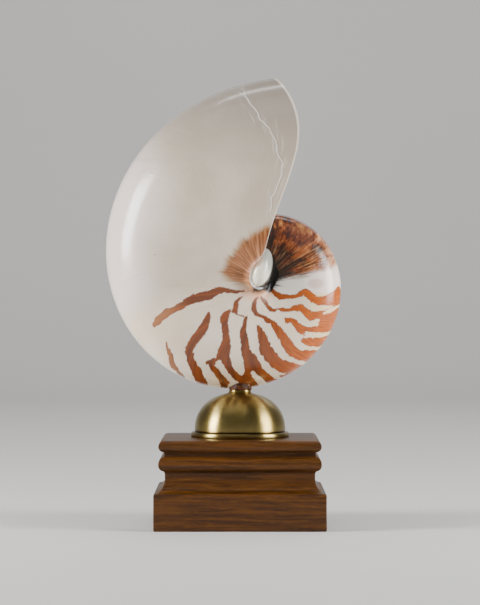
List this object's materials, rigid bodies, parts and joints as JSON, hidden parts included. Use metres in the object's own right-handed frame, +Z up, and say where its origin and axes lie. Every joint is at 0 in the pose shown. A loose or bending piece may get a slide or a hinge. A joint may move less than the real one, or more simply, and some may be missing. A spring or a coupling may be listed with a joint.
{
  "type": "nautilus shell half",
  "caption": "Chambered nautilus shell cut in half along its plane of symmetry, glued upright on a brass dome on a moulded wooden plinth.",
  "frame": {"origin": "centre of the plinth's flat underside, on the surface it stands on", "axes": "+Z up, +X to the right of the shell's outside as shown, +Y out of the cut face, so the outside looks along -Y"},
  "size_m": [0.1288, 0.085, 0.2448],
  "materials": {
    "shell": "satin porcelain outside with orange-brown flame stripes on cream, pearly inside, matt sawn edge",
    "wood": "satin lacquered brown hardwood with straight grain",
    "brass": "satin, lightly tarnished",
    "glue": "set dark brown glue, uneven and half glossy"
  },
  "bodies": {
    "root": {"plinth": "wood", "flange": "brass", "dome": "brass", "neck": "brass", "glue_bead": "glue", "shell": "shell"}
  },
  "joints": []
}
